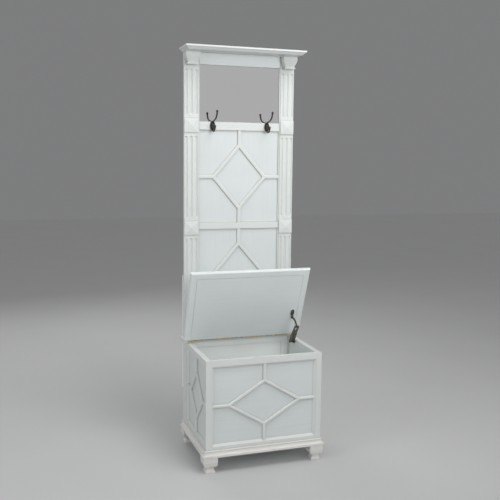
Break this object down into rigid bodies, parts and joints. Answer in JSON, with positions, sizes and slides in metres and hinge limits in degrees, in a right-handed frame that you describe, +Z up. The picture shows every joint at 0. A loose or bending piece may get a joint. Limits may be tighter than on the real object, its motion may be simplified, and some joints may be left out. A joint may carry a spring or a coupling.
{
  "type": "hall tree with storage bench",
  "caption": "White painted hall tree: storage chest bench with a hinged lid and folding stay, under a fluted back frame with mirror, coat hooks, lattice panels and moulded cornice.",
  "frame": {"origin": "on the floor, under the centre of the bounding box", "axes": "+X to the right seen from the front, -Y the front, +Z up; drawn with the lid open"},
  "size_m": [0.59, 0.458, 1.9],
  "materials": {
    "painted_wood": "white satin paint on solid wood, brushed along the grain",
    "painted_panel": "white satin paint on flat wood panels",
    "painted_inner_wood": "white paint, thinner and flatter on inner and rear pieces",
    "dark_bronze": "dark bronzed metal, semi-gloss",
    "brass": "aged brass",
    "steel": "zinc-plated screw heads",
    "mirror": "silvered plain glass",
    "backing_board": "bare brown hardboard"
  },
  "bodies": {
    "case": {"foot_front_left": "painted_wood", "foot_front_right": "painted_wood", "foot_rear_left": "painted_wood", "foot_rear_right": "painted_wood", "base_moulding_front": "painted_wood", "base_moulding_left": "painted_wood", "base_moulding_right": "painted_wood", "chest_front_stile_left": "painted_wood", "chest_front_stile_right": "painted_wood", "chest_front_top_rail": "painted_wood", "chest_front_bottom_rail": "painted_wood", "chest_front_panel": "painted_panel", "chest_front_sticking": "painted_wood", "chest_front_lattice": "painted_wood", "chest_left_rear_stile": "painted_wood", "chest_left_top_rail": "painted_wood", "chest_left_bottom_rail": "painted_wood", "chest_left_panel": "painted_panel", "chest_left_lattice": "painted_wood", "chest_right_rear_stile": "painted_wood", "chest_right_top_rail": "painted_wood", "chest_right_bottom_rail": "painted_wood", "chest_right_panel": "painted_panel", "chest_right_lattice": "painted_wood", "inner_back_frame": "painted_inner_wood", "inner_back_panel": "painted_inner_wood", "chest_floor_board": "painted_inner_wood", "rear_cross_rails": "painted_inner_wood", "seat_board": "painted_wood", "hinge_fixed_leaf": "brass", "hinge_pin": "brass", "stay_wall_bracket": "dark_bronze", "stay_wall_screws": "dark_bronze", "frame_stile_left": "painted_wood", "frame_stile_right": "painted_wood", "pyramid_blocks": "painted_wood", "capital_left": "painted_wood", "capital_right": "painted_wood", "cornice": "painted_wood", "frieze_board": "painted_wood", "hook_rail": "painted_wood", "middle_rail": "painted_wood", "bottom_rail": "painted_wood", "back_panels": "painted_panel", "upper_lattice": "painted_wood", "lower_lattice": "painted_wood", "mirror_glass": "mirror", "mirror_backing": "backing_board", "rear_battens": "painted_inner_wood", "batten_screws": "steel", "coat_hook_left": "dark_bronze", "coat_hook_right": "dark_bronze", "hook_screws": "dark_bronze"},
    "lid": {"lid_panel": "painted_panel", "lid_frame_strips": "painted_wood", "hinge_lid_leaf": "brass", "stay_lid_bracket": "dark_bronze", "stay_lid_screws": "dark_bronze"},
    "stay_link": {"stay_link": "dark_bronze"},
    "stay_arm": {"stay_arm": "dark_bronze"}
  },
  "joints": [
    {"name": "lid_hinge", "type": "hinge", "parent": "case", "child": "lid", "pos_m": [0, 0.134, 0.5332], "axis": [1, 0, 0], "range_deg": [0, 68.2]},
    {"name": "stay_wall_pivot", "type": "hinge", "parent": "case", "child": "stay_link", "pos_m": [0.239, 0.072, 0.4995], "axis": [1, 0, 0], "range_deg": [0, 68.2]},
    {"name": "stay_lid_pivot", "type": "hinge", "parent": "lid", "child": "stay_arm", "pos_m": [0.239, 0.06752, 0.61862], "axis": [1, 0, 0], "range_deg": [-68.2, 0]}
  ],
  "couplings": [
    {"joint": "stay_wall_pivot", "follows": "lid_hinge", "ratio": 1},
    {"joint": "stay_lid_pivot", "follows": "lid_hinge", "ratio": -1}
  ]
}
